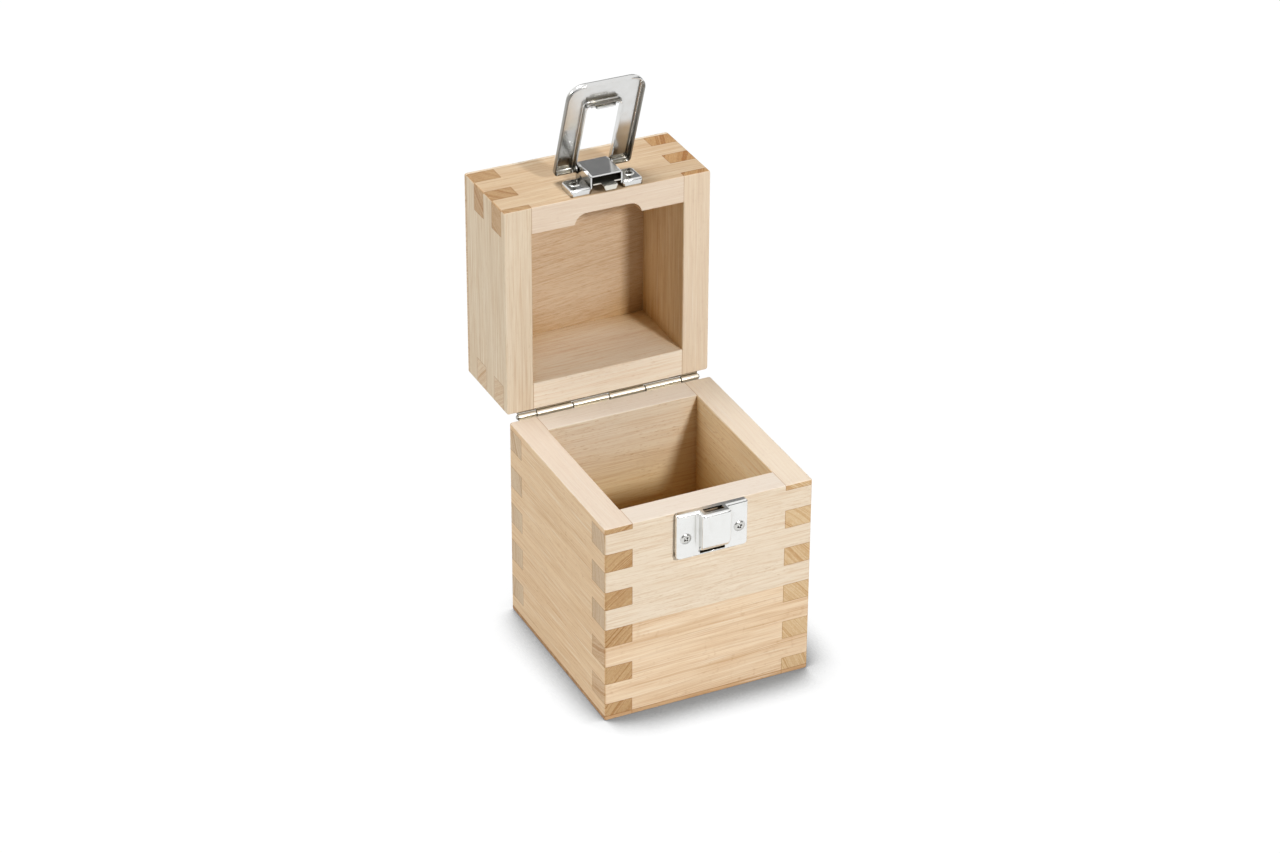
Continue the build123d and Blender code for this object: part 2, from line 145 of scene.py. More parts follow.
# The floor is white paper. It glows to the eye, less so close to the case: there an occlusion test dims its
# glow, a painted contact shadow over the faint real shadow that its dark diffuse part keeps.
floor_half = 6.0
shadow_reach = 0.030
shadow_lean = (-0.13, 0.15, 1.0)
paper_grey = (0.8, 0.8, 0.8, 1)
shadow_grey = (0.075, 0.08, 0.086, 1)
floor_mesh = bmesh.new()
bmesh.ops.create_grid(floor_mesh, x_segments=1, y_segments=1, size=floor_half)
floor_data = bpy.data.meshes.new("floor")
floor_mesh.to_mesh(floor_data)
floor_mesh.free()
floor = bpy.data.objects.new("floor", floor_data)
scene.collection.objects.link(floor)
paper = bpy.data.materials.new("floor_paper")
paper.use_nodes = True
tree = paper.node_tree
tree.nodes.clear()
seen = looked_at(tree)
lean = put(tree, "ShaderNodeCombineXYZ", dict(enumerate(shadow_lean)))
painted_contact_shadow = put(tree, "ShaderNodeAmbientOcclusion", {"Distance": shadow_reach, "Normal": lean.outputs[0]},
              samples=8)
contact_shadowed_glow = fade(tree, painted_contact_shadow.outputs["AO"], 0.49, 0.86, 0.22, 0.955)
shade = tint(tree, "MIX", seen, paper_grey, shadow_grey)
matt = put(tree, "ShaderNodeBsdfDiffuse", {"Color": shade})
shine = put(tree, "ShaderNodeEmission", {"Color": white, "Strength": calc(tree, "MULTIPLY", seen, contact_shadowed_glow)})
both = put(tree, "ShaderNodeAddShader", {0: matt.outputs[0], 1: shine.outputs[0]})
put(tree, "ShaderNodeOutputMaterial", {"Surface": both.outputs[0]})
floor_data.materials.append(paper)


def card(name, place, aim, width, height, grey):
    """A grey board beside the case, which only the shine of metal shows."""
    shape = bmesh.new()
    bmesh.ops.create_grid(shape, x_segments=1, y_segments=1, size=0.5)
    bmesh.ops.scale(shape, verts=shape.verts, vec=(width, height, 1))
    facing = (Vector(aim) - Vector(place)).to_track_quat("Z", "Y").to_matrix().to_4x4()
    bmesh.ops.transform(shape, verts=shape.verts, matrix=Matrix.Translation(place) @ facing)
    data = bpy.data.meshes.new(name)
    shape.to_mesh(data)
    shape.free()
    look = bpy.data.materials.new(name)
    look.use_nodes = True
    look.node_tree.nodes.clear()
    grey_glow = put(look.node_tree, "ShaderNodeEmission", {"Color": (grey, grey, grey, 1), "Strength": 1.0})
    put(look.node_tree, "ShaderNodeOutputMaterial", {"Surface": grey_glow.outputs[0]})
    data.materials.append(look)
    made = bpy.data.objects.new(name, data)
    scene.collection.objects.link(made)
    made.visible_camera = False
    made.visible_diffuse = False
    made.visible_shadow = False


card("card_behind", (1.2, 2.6, 1.9), case_middle, width=2.2, height=1.5, grey=0.22)
ring_radius, ring_height, ring_cards = 3, 0.85, 5
for number in range(ring_cards):
    turn = math.radians(100 + 40 * number)
    place = (ring_radius * math.sin(turn), ring_radius * math.cos(turn), ring_height)
    card(f"card_front_{number}", place, (0, 0, ring_height), width=2.1, height=1.7, grey=0.09)

# Beech, for every board of the box. The grain is a solid pattern of growth rings round the tree's
# pith, with the rays that fleck beech, so a board's faces, edges and ends agree.
pith_distance = 110.0
year_spread, year_wander = 7.0, 2.6
wave_scale, wave_size = (0.03, 0.03, 0.007), (5.0, 5.0, 0.0)
late_brown = (0.84, 0.72, 0.58, 1)
fleck_brown = (0.80, 0.70, 0.60, 1)
fibre_brown = (0.86, 0.80, 0.74, 1)
thread_brown = (0.90, 0.82, 0.74, 1)
thread_pale = (0.93, 0.84, 0.72, 1)
flecks_lost_at_ends = 0.6


def cloud(tree, across, radial, along, steps, detail):
    """Noise stretched to a size, in mm, across the rays, out from the pith and along the grain."""
    place = put(tree, "ShaderNodeCombineXYZ", {
        0: calc(tree, "DIVIDE", across, steps[0]),
        1: calc(tree, "DIVIDE", radial, steps[1]),
        2: calc(tree, "DIVIDE", along, steps[2]),
    })
    made = put(tree, "ShaderNodeTexNoise", {"Vector": place.outputs[0], "Scale": 1.0, "Detail": detail})
    return made.outputs["Fac"]


def group(name, inputs, outputs):
    """An empty node group and its two ends."""
    tree = bpy.data.node_groups.new(name, "ShaderNodeTree")
    for label, kind, value in inputs:
        socket = tree.interface.new_socket(label, in_out="INPUT", socket_type=kind)
        if value is not None:
            socket.default_value = value
    for label, kind in outputs:
        tree.interface.new_socket(label, in_out="OUTPUT", socket_type=kind)
    return tree, tree.nodes.new("NodeGroupInput"), tree.nodes.new("NodeGroupOutput")


beech, given, made = group(
    "beech_grain",
    [("Position", "NodeSocketVector", None), ("End", "NodeSocketFloat", 0.0),
     ("Pale", "NodeSocketColor", None), ("Tan", "NodeSocketColor", None),
     ("End Tone", "NodeSocketColor", None), ("Ring Width", "NodeSocketFloat", 2.2),
     ("Rings", "NodeSocketFloat", 0.3), ("End Rings", "NodeSocketFloat", 0.8),
     ("Flecks", "NodeSocketFloat", 0.5), ("Streaks", "NodeSocketFloat", 0.5)],
    [("Color", "NodeSocketColor"), ("Roughness", "NodeSocketFloat"), ("Height", "NodeSocketFloat")])
position = given.outputs["Position"]
wander = put(beech, "ShaderNodeVectorMath", {0: position, 1: wave_scale}, operation="MULTIPLY")
wander = put(beech, "ShaderNodeTexNoise", {"Vector": wander.outputs[0], "Scale": 1.0, "Detail": 3.0})
wander = put(beech, "ShaderNodeVectorMath", {0: wander.outputs["Color"], 1: wave_size, 2: position},
             operation="MULTIPLY_ADD")
x, y, along = put(beech, "ShaderNodeSeparateXYZ", {0: wander.outputs[0]}).outputs
radial = calc(beech, "ADD", calc(beech, "MULTIPLY", x, x), calc(beech, "MULTIPLY", y, y))
radial = calc(beech, "SQRT", radial)
across = calc(beech, "MULTIPLY", calc(beech, "ARCTAN2", y, x), pith_distance)
good_years = put(beech, "ShaderNodeTexNoise",
                 {"W": calc(beech, "DIVIDE", radial, year_spread), "Detail": 2.0}, noise_dimensions="1D")
phase = calc(beech, "DIVIDE", radial, given.outputs["Ring Width"])
phase = calc(beech, "MULTIPLY_ADD", good_years.outputs["Fac"], year_wander, phase)
ring = calc(beech, "FRACT", phase)
late = calc(beech, "MULTIPLY", fade(beech, ring, 0.25, 0.9), fade(beech, ring, 0.93, 1.0, 1.0, 0.0))
year = put(beech, "ShaderNodeTexWhiteNoise", {"W": calc(beech, "FLOOR", phase)}, noise_dimensions="1D")
late = calc(beech, "MULTIPLY", late, fade(beech, year.outputs["Value"], 0.0, 1.0, 0.35, 1.0))
broad = cloud(beech, across, radial, along, (16.0, 7.0, 80.0), 2.0)
streak = cloud(beech, across, radial, along, (2.4, 1.1, 60.0), 3.0)
fibre = cloud(beech, across, radial, along, (0.35, 0.30, 12.0), 2.0)
fleck = fade(beech, cloud(beech, across, radial, along, (0.40, 9.0, 2.8), 2.0), 0.56, 0.74)
patch = cloud(beech, across, radial, along, (9.0, 9.0, 22.0), 1.0)
fleck = calc(beech, "MULTIPLY", fleck, fade(beech, patch, 0.35, 0.65, 0.25, 1.0))
thread = cloud(beech, across, radial, along, (0.75, 0.6, 34.0), 2.0)
end = given.outputs["End"]
rings = put(beech, "ShaderNodeMapRange", {"Value": end, "To Min": given.outputs["Rings"],
            "To Max": given.outputs["End Rings"]}).outputs[0]
tan_share = calc(beech, "MULTIPLY", late, rings)
broad = calc(beech, "MULTIPLY", fade(beech, broad, 0.38, 0.66, -0.1, 0.35), given.outputs["Streaks"])
tan_share = calc(beech, "ADD", tan_share, broad)
streak = calc(beech, "MULTIPLY", fade(beech, streak, 0.4, 0.7, -0.1, 0.35), given.outputs["Streaks"])
tan_share = calc(beech, "ADD", tan_share, streak, clamp=True)
colour = tint(beech, "MIX", tan_share, given.outputs["Pale"], given.outputs["Tan"])
colour = tint(beech, "MULTIPLY", end, colour, given.outputs["End Tone"])
late_end = calc(beech, "MULTIPLY", calc(beech, "MULTIPLY", late, end), given.outputs["End Rings"])
colour = tint(beech, "MULTIPLY", late_end, colour, late_brown)
side = calc(beech, "SUBTRACT", 1.0, calc(beech, "MULTIPLY", end, flecks_lost_at_ends))
dash = calc(beech, "MULTIPLY", calc(beech, "MULTIPLY", fleck, given.outputs["Flecks"]), side)
colour = tint(beech, "MULTIPLY", dash, colour, fleck_brown)
colour = tint(beech, "MULTIPLY", fade(beech, fibre, 0.50, 0.78, 0.0, 0.75), colour, fibre_brown)
dark_thread = calc(beech, "MULTIPLY", fade(beech, thread, 0.48, 0.68, 0.0, 0.8), side)
colour = tint(beech, "MULTIPLY", dark_thread, colour, thread_brown)
pale_thread = calc(beech, "MULTIPLY", fade(beech, thread, 0.44, 0.26, 0.0, 0.45), side)
colour = tint(beech, "MIX", pale_thread, colour, thread_pale)
beech.links.new(colour, made.inputs["Color"])
beech.links.new(fade(beech, fibre, 0.3, 0.7, 0.50, 0.64), made.inputs["Roughness"])
relief = calc(beech, "MULTIPLY_ADD", dash, -0.6, calc(beech, "MULTIPLY", fibre, 0.7))
beech.links.new(relief, made.inputs["Height"])

# The box's own sizes, in mm with the lid closed, and the marks that its making leaves on the boards:
# a hair of dark glue at each joint, pale sawn rims and browned edges. Inside, painted shade and light:
# the well darker and warmer towards its bottom, darker in corners and narrow gaps, and the inside of
# the lid's top lightened.
half_width = 52.0
half_depth = 52.5
wall = 13.6
plate_top = 2.5
rim = 102.5
lid_rim = 102.65
lid_ceiling = 146.15
hinge_y = 54.9
hinge_z = 102.575
finger_pitch = 20.0
end_grain_finger = 9.3
first_finger_below_rim = 18.0
saw_kerf = 3.0
base_fingers = rim - first_finger_below_rim
lid_fingers = lid_rim + 2 * finger_pitch - first_finger_below_rim - saw_kerf
skin = 0.3
glue_full, glue_gone = 0.06, 0.24
shade_reach = 0.03


def line(tree, off, full, gone):
    """1 on a thin line, from the distance off it, and 0 beside it."""
    return fade(tree, calc(tree, "ABSOLUTE", off), full, gone, 1.0, 0.0)


seams, given, made = group(
    "joint_seams",
    [("Position", "NodeSocketVector", None), ("First Finger", "NodeSocketFloat", 0.0),
     ("Plate", "NodeSocketFloat", 0.0)],
    [("Seam", "NodeSocketFloat"), ("Edge", "NodeSocketFloat"), ("Rim", "NodeSocketFloat"),
     ("Painted Deep Shade", "NodeSocketFloat"), ("Painted Ceiling Light", "NodeSocketFloat"), ("Painted Corner Shade", "NodeSocketFloat"),
     ("Painted Narrow Shade", "NodeSocketFloat")])
x, y, z = put(seams, "ShaderNodeSeparateXYZ", {0: given.outputs["Position"]}).outputs
x, y = calc(seams, "ABSOLUTE", x), calc(seams, "ABSOLUTE", y)
sawn = line(seams, calc(seams, "SUBTRACT", z, hinge_z), 0.2, 0.5)
seams.links.new(sawn, made.inputs["Rim"])
on_front = calc(seams, "MAXIMUM", calc(seams, "GREATER_THAN", y, half_depth - skin),
                calc(seams, "GREATER_THAN", sawn, 0.5))
outside = calc(seams, "MAXIMUM", on_front, calc(seams, "GREATER_THAN", x, half_width - skin))
from_front = calc(seams, "SUBTRACT", x, half_width - wall)
from_side = calc(seams, "SUBTRACT", y, half_depth - wall)
corner = put(seams, "ShaderNodeMix", {0: on_front, 2: from_side, 3: from_front}).outputs[0]
finger = calc(seams, "SUBTRACT", z, given.outputs["First Finger"])
finger = calc(seams, "PINGPONG", finger, finger_pitch / 2)
level = calc(seams, "SUBTRACT", finger, end_grain_finger / 2)
across_seam = calc(seams, "MULTIPLY", line(seams, level, glue_full, glue_gone),
                   calc(seams, "GREATER_THAN", corner, 0.0))
end_shown = calc(seams, "MULTIPLY", level, calc(seams, "MULTIPLY_ADD", on_front, 2.0, -1.0))
up_seam = calc(seams, "MULTIPLY", line(seams, corner, glue_full, glue_gone),
               calc(seams, "LESS_THAN", end_shown, 0.0))
plate_seam = line(seams, calc(seams, "SUBTRACT", z, given.outputs["Plate"]), 0.06, 0.30)
seam = calc(seams, "MULTIPLY", calc(seams, "MAXIMUM", across_seam, up_seam), outside)
seams.links.new(calc(seams, "MAXIMUM", seam, plate_seam), made.inputs["Seam"])
within = calc(seams, "MULTIPLY", calc(seams, "LESS_THAN", x, half_width - wall + 0.5),
              calc(seams, "LESS_THAN", y, half_depth - wall + 0.5))
# Painted shade: the well's wood is darker and warmer towards its bottom.
painted_deep_shade = calc(seams, "MULTIPLY", fade(seams, z, 98.0, 42.0), fade(seams, z, 2.6, 4.0))
seams.links.new(calc(seams, "MULTIPLY", within, painted_deep_shade), made.inputs["Painted Deep Shade"])
# Painted shade: an occlusion test darkens and warms the wood in the corners inside the box.
open_air = put(seams, "ShaderNodeAmbientOcclusion", {"Distance": shade_reach}, samples=6).outputs["AO"]
painted_corner_shade = calc(seams, "MULTIPLY", within, fade(seams, open_air, 0.30, 0.70, 1.0, 0.0))
seams.links.new(painted_corner_shade, made.inputs["Painted Corner Shade"])
# Painted shade: the occlusion test darkens the wood much more in narrow gaps, inside and out.
seams.links.new(fade(seams, open_air, 0.06, 0.22, 1.0, 0.0), made.inputs["Painted Narrow Shade"])
# Painted light: the inside face of the lid's top is lightened and cooled.
painted_ceiling_light = line(seams, calc(seams, "SUBTRACT", z, lid_ceiling), 0.2, 0.5)
seams.links.new(calc(seams, "MULTIPLY", within, painted_ceiling_light), made.inputs["Painted Ceiling Light"])
near_edge = calc(seams, "MAXIMUM", calc(seams, "SUBTRACT", half_width, x),
                 calc(seams, "SUBTRACT", half_depth, y))
seams.links.new(fade(seams, near_edge, 0.2, 0.9, 1.0, 0.0), made.inputs["Edge"])


def srgb(red, green, blue):
    """A colour as it is picked on screen, 0 to 255, in linear light."""
    return tuple((c / 255 / 12.92) if c < 11 else ((c / 255 + 0.055) / 1.055) ** 2.4
                 for c in (red, green, blue)) + (1.0,)


to_mm = (1000, 1000, 1000)
sawn_pale = srgb(240, 230, 222)
edge_brown = (0.90, 0.76, 0.60, 1)
glue_brown = (0.62, 0.46, 0.32, 1)
# Painted light and shade inside the box, multiplied into the wood's colour by mask.
painted_inside_light_and_shade = {"Painted Ceiling Light": (1.05, 1.14, 1.25, 1), "Painted Deep Shade": (0.80, 0.66, 0.36, 1),
                 "Painted Corner Shade": (0.76, 0.61, 0.36, 1), "Painted Narrow Shade": (0.34, 0.26, 0.18, 1)}


def board(name, grain, pith, pale, tan, end_tone=(0.80, 0.72, 0.62, 1), lid=False, tilt=(0.0, 0.0),
          slide=0.0, ring_width=2.2, rings=0.3, end_rings=0.8, flecks=0.5, streaks=0.5, rim_pale=0.65):
    """The finish of one board. grain is X, Y or Z as it stands, pith is where the tree's middle lies
    across the grain, in mm from the case's origin, and tilt turns the grain off the board's length."""
    look = bpy.data.materials.new(name)
    look.use_nodes = True
    tree = look.node_tree
    shader = tree.nodes["Principled BSDF"]
    points = put(tree, "ShaderNodeTexCoord")
    turns = {"X": (0, -90, 0), "Y": (90, 0, 0), "Z": (0, 0, 0)}[grain]
    turn = [math.radians(t) for t in turns]
    place = put(tree, "ShaderNodeMapping",
                {"Vector": points.outputs["Object"], "Rotation": turn, "Scale": to_mm})
    straight = put(tree, "ShaderNodeMapping", {
        "Vector": place.outputs[0], "Location": (-pith[0], -pith[1], slide),
        "Rotation": (math.radians(tilt[0]), math.radians(tilt[1]), 0)})
    axis = {"X": (1, 0, 0), "Y": (0, 1, 0), "Z": (0, 0, 1)}[grain]
    facing = put(tree, "ShaderNodeVectorMath", {0: points.outputs["Normal"], 1: axis},
                 operation="DOT_PRODUCT")
    ends = fade(tree, calc(tree, "ABSOLUTE", facing.outputs["Value"]), 0.55, 0.85)
    grained = put(tree, "ShaderNodeGroup", {
        "Position": straight.outputs[0], "End": ends, "Pale": pale, "Tan": tan, "End Tone": end_tone,
        "Ring Width": ring_width, "Rings": rings, "End Rings": end_rings, "Flecks": flecks,
        "Streaks": streaks}, node_tree=beech)
    # An open lid's points are turned back onto the closed box for its joints.
    closed = put(tree, "ShaderNodeMapping", {
        "Vector": points.outputs["Object"], "Scale": to_mm,
        "Rotation": (math.radians(90 if lid else 0), 0, 0),
        "Location": (0, hinge_y + hinge_z, hinge_z - hinge_y) if lid else (0, 0, 0)})
    joints = put(tree, "ShaderNodeGroup", {
        "Position": closed.outputs[0], "First Finger": lid_fingers if lid else base_fingers,
        "Plate": lid_ceiling if lid else plate_top}, node_tree=seams)
    colour = tint(tree, "MIX", calc(tree, "MULTIPLY", joints.outputs["Rim"], rim_pale),
                  grained.outputs["Color"], sawn_pale)
    # Painted shade in the well, its corners and narrow gaps, and painted light on the lid's inside top.
    for mask, shaded in painted_inside_light_and_shade.items():
        colour = tint(tree, "MULTIPLY", joints.outputs[mask], colour, shaded)
    for mask, share, brown in (("Edge", 0.75, edge_brown), ("Seam", 0.8, glue_brown)):
        colour = tint(tree, "MULTIPLY", calc(tree, "MULTIPLY", joints.outputs[mask], share), colour, brown)
    tree.links.new(colour, shader.inputs["Base Color"])
    tree.links.new(grained.outputs["Roughness"], shader.inputs["Roughness"])
    shader.inputs["Specular IOR Level"].default_value = 0.3
    height = calc(tree, "MULTIPLY_ADD", joints.outputs["Seam"], -1.2, grained.outputs["Height"])
    bump = put(tree, "ShaderNodeBump", {"Height": height, "Strength": 0.35, "Distance": 0.00012})
    tree.links.new(bump.outputs[0], shader.inputs["Normal"])
    return look


def finish_node(name, look):
    """Gives a CAD piece its material."""
    for slot in parts[name].material_slots:
        slot.material = look


# Base: four beech walls, grain lying level, joined at the corners with glued fingers, on a thin
# beech bottom. The front wall is glued up from two staves, the upper one paler and more flecked.
finish_node("base_front_wall_upper", board(
    "beech_front_upper", "X", (-60, 70), srgb(236, 222, 203), srgb(222, 200, 172), tilt=(1.2, 0.4),
    ring_width=3.6, rings=0.16, flecks=0.8, streaks=0.35, slide=40))
finish_node("base_front_wall_lower", board(
    "beech_front_lower", "X", (-190, -10), srgb(240, 218, 190), srgb(219, 187, 151), tilt=(0.2, 1.0),
    ring_width=2.6, rings=0.55, flecks=0.45, streaks=0.9, slide=-90))
finish_node("base_back_wall", board(
    "beech_back", "X", (-30, 150), srgb(243, 230, 210), srgb(224, 200, 172), tilt=(0.8, 0.5),
    ring_width=2.8, rings=0.4, flecks=1.0, streaks=0.5, slide=130))
finish_node("base_left_wall", board(
    "beech_left", "Y", (70, 80), srgb(236, 208, 171), srgb(213, 176, 132), tilt=(0.5, 1.0),
    end_tone=(0.68, 0.60, 0.48, 1), ring_width=3.4, rings=0.3, end_rings=0.95, flecks=0.6, streaks=0.5,
    slide=15))
finish_node("base_right_wall", board(
    "beech_right", "Y", (-80, 60), srgb(251, 230, 190), srgb(234, 202, 155), tilt=(0.4, -0.8),
    end_tone=(0.75, 0.69, 0.65, 1), ring_width=2.4, rings=0.3, end_rings=0.7, flecks=0.8, streaks=0.5,
    slide=-30))
finish_node("base_bottom_plate", board(
    "beech_bottom", "X", (40, 260), srgb(214, 178, 138), srgb(188, 146, 102), ring_width=2.4, rings=0.4,
    flecks=0.5, slide=60))

# Lid: the top of the same beech box, sawn off after gluing, so the fingers run on. It stands open,
# so the side boards' grain now runs upright. A thin panel glued on the walls closes it.
finish_node("lid_front_wall", board(
    "beech_lid_front", "X", (-300, 20), srgb(226, 201, 169), srgb(206, 170, 132), lid=True, tilt=(0.5, 0.3),
    ring_width=2.8, rings=0.3, flecks=0.5, streaks=0.6, slide=210, rim_pale=0.5))
finish_node("lid_back_wall", board(
    "beech_lid_back", "X", (-20, 10), srgb(251, 240, 223), srgb(238, 217, 193), lid=True, tilt=(0.4, 1.0),
    ring_width=2.4, rings=0.5, flecks=0.6, streaks=0.7, slide=300, rim_pale=0.15))
finish_node("lid_left_wall", board(
    "beech_lid_left", "Z", (60, 170), srgb(229, 212, 187), srgb(207, 182, 150), lid=True,
    tilt=(0.6, 0.3), end_tone=(0.72, 0.56, 0.40, 1), ring_width=3.2, rings=0.18, end_rings=1.0,
    flecks=0.35, streaks=0.5, slide=25, rim_pale=0.15))
finish_node("lid_right_wall", board(
    "beech_lid_right", "Z", (-90, 150), srgb(230, 206, 170), srgb(206, 171, 126), lid=True,
    tilt=(-0.4, 0.5), end_tone=(0.74, 0.57, 0.40, 1), ring_width=2.6, rings=0.35, end_rings=0.9,
    flecks=0.4, streaks=0.8, slide=-70, rim_pale=0.4))
finish_node("lid_top_plate", board(
    "beech_lid_top", "X", (-215, 130), srgb(248, 234, 213), srgb(230, 208, 180), lid=True, tilt=(6.0, 3.0),
    ring_width=4.2, rings=0.9, flecks=0.35, streaks=0.8, slide=-160))

# The finish of the hinge, the catch and the latch: nickel plate over pressed steel, bright, a little
# smeared, finely scratched from polishing, and darkened in its hollows, partly grime and partly painted
# shade.
smear_tone = (0.90, 0.89, 0.86, 1)
grime_and_shade_brown = (0.34, 0.31, 0.25, 1)
nickel, given, made = group(
    "nickel_wear_and_hollow_shade",
    [("Position", "NodeSocketVector", None), ("Tone", "NodeSocketColor", None),
     ("Roughness", "NodeSocketFloat", 0.2), ("Grime And Shade", "NodeSocketFloat", 1.0),
     ("Reach", "NodeSocketFloat", 0.009)],
    [("Color", "NodeSocketColor"), ("Roughness", "NodeSocketFloat"), ("Height", "NodeSocketFloat")])
position = given.outputs["Position"]
smear = put(nickel, "ShaderNodeTexNoise",
            {"Vector": position, "Scale": 240.0, "Detail": 4.0, "Roughness": 0.6}).outputs["Fac"]
grit = put(nickel, "ShaderNodeTexNoise",
           {"Vector": position, "Scale": 2600.0, "Detail": 2.0}).outputs["Fac"]
drawn = put(nickel, "ShaderNodeMapping", {"Vector": position, "Scale": (3000, 220, 220)}).outputs[0]
scratch = put(nickel, "ShaderNodeTexNoise",
              {"Vector": drawn, "Scale": 1.0, "Detail": 1.0}).outputs["Fac"]
dull = fade(nickel, smear, 0.35, 0.75, -0.02, 0.04)
nickel.links.new(calc(nickel, "ADD", given.outputs["Roughness"], dull), made.inputs["Roughness"])
tone = tint(nickel, "MULTIPLY", fade(nickel, smear, 0.4, 0.8, 0.0, 0.35), given.outputs["Tone"],
            smear_tone)
# Grime and painted shade: an occlusion test darkens the nickel in its hollows and close to other parts.
hollow = put(nickel, "ShaderNodeAmbientOcclusion", {"Distance": given.outputs["Reach"]}, samples=6)
hollow_grime_and_shade = calc(nickel, "MULTIPLY", fade(nickel, hollow.outputs["AO"], 0.2, 0.8, 1.0, 0.0),
             given.outputs["Grime And Shade"])
nickel.links.new(tint(nickel, "MULTIPLY", hollow_grime_and_shade, tone, grime_and_shade_brown), made.inputs["Color"])
nickel.links.new(calc(nickel, "ADD", calc(nickel, "MULTIPLY", grit, 0.6),
                      calc(nickel, "MULTIPLY", scratch, 0.5)), made.inputs["Height"])


def plated(name, tone, roughness, grime_and_shade=1.0, reach=0.009):
    """A nickel-plated or bare steel finish. reach is how wide a hollow is darkened with grime and painted
    shade, in metres.
    """
    look = bpy.data.materials.new(name)
    look.use_nodes = True
    tree = look.node_tree
    shader = tree.nodes["Principled BSDF"]
    points = put(tree, "ShaderNodeTexCoord")
    worn = put(tree, "ShaderNodeGroup", {
        "Position": points.outputs["Object"], "Tone": tone, "Roughness": roughness,
        "Grime And Shade": grime_and_shade, "Reach": reach}, node_tree=nickel)
    tree.links.new(worn.outputs["Color"], shader.inputs["Base Color"])
    tree.links.new(worn.outputs["Roughness"], shader.inputs["Roughness"])
    shader.inputs["Metallic"].default_value = 1.0
    bump = put(tree, "ShaderNodeBump",
               {"Height": worn.outputs["Height"], "Strength": 0.12, "Distance": 0.00004})
    tree.links.new(bump.outputs[0], shader.inputs["Normal"])
    return look


# Catch plate, on the base's front: a pan pressed from one sheet of nickel-plated steel. Its hollow
# cap is slotted on top for the claw, and its foot curls in over a slit for the lever's tongue.
# Painted light: the catch is the same nickel as the latch plate, toned lighter.
catch_nickel_lightened = plated("nickel_catch_lightened", srgb(238, 238, 236), 0.17)
# Painted shade: a dull dark finish for the pressed sheets' inner faces, partly their bare inside and partly
# the shade there, and for each screw's cross and the gap round its head.
painted_gap_shade = plated("painted_gap_shade", srgb(84, 77, 64), 0.6)
sheet = 0.7
fold_steps = 5
sharp_fold = 0.7
small_face = 4.0
disc_steps = 32
close = 0.1
facing_x = Matrix.Rotation(math.radians(90), 4, "Y")
catch_half = 17.9
catch_low, catch_top = 78.75, 102.35
catch_depth = 3.1
cap_half = 7.2
cap_low = 82.3
cap_depth = 8.0
cap_foot = 4.6
cap_foot_steps = 8
cap_foot_stretch = 1.35
slit_half = 6.3
slit_low, slit_high = 79.95, cap_low + 0.5
slit_depth = 2.2
slit_cut_high = cap_low + 1.5
slot_half = 4.8
slot_near, slot_far = 2.2, 5.28
plate_corner = 2.0
catch_fold = 1.2


def outline(mesh, points, depth):
    """A flat face seen from the front, from corners in X and Z, at a depth outside the wood."""
    corners = [mesh.verts.new((x, -half_depth - depth, z)) for x, z in points]
    return mesh.faces.new(corners)


def cut(mesh, faces, place, normal):
    """Cuts faces of the mesh along a plane."""
    around = {part for face in faces for part in (*face.verts, *face.edges, face)}
    bmesh.ops.bisect_plane(mesh, geom=list(around), plane_co=place, plane_no=normal, dist=1e-5)


def raised(mesh, faces, depth):
    """Extrudes faces outwards, away from the wood."""
    grown = bmesh.ops.extrude_face_region(mesh, geom=faces)["geom"]
    tops = [part for part in grown if isinstance(part, bmesh.types.BMVert)]
    bmesh.ops.translate(mesh, verts=tops, vec=(0, -depth, 0))
    bmesh.ops.delete(mesh, geom=[face for face in faces if face.is_valid], context="FACES_ONLY")


def to_wood(mesh, edges):
    """Turns the edges of a pressed face in, as far as the wood."""
    for part in bmesh.ops.extrude_edge_only(mesh, edges=edges)["geom"]:
        if isinstance(part, bmesh.types.BMVert):
            part.co.y = -half_depth


def rounded(mesh, edges, radius, steps):
    """Rounds edges, and gives the faces that this makes."""
    return bmesh.ops.bevel(mesh, geom=edges, offset=radius, offset_type="OFFSET", segments=steps,
                           profile=0.5, affect="EDGES", clamp_overlap=False, material=-1)["faces"]


def middle(part):
    """The middle of an edge or a face."""
    return sum((vert.co for vert in part.verts), Vector()) / len(part.verts)


def fold(mesh, radius):
    """Rounds every sharp fold of a pressed sheet, and smooths its curves but not its flats."""
    mesh.normal_update()
    sharp = [edge for edge in mesh.edges
             if len(edge.link_faces) == 2 and edge.calc_face_angle() > sharp_fold]
    curves = set(rounded(mesh, sharp, radius, fold_steps))
    for face in mesh.faces:
        face.smooth = face in curves or face.calc_area() < small_face


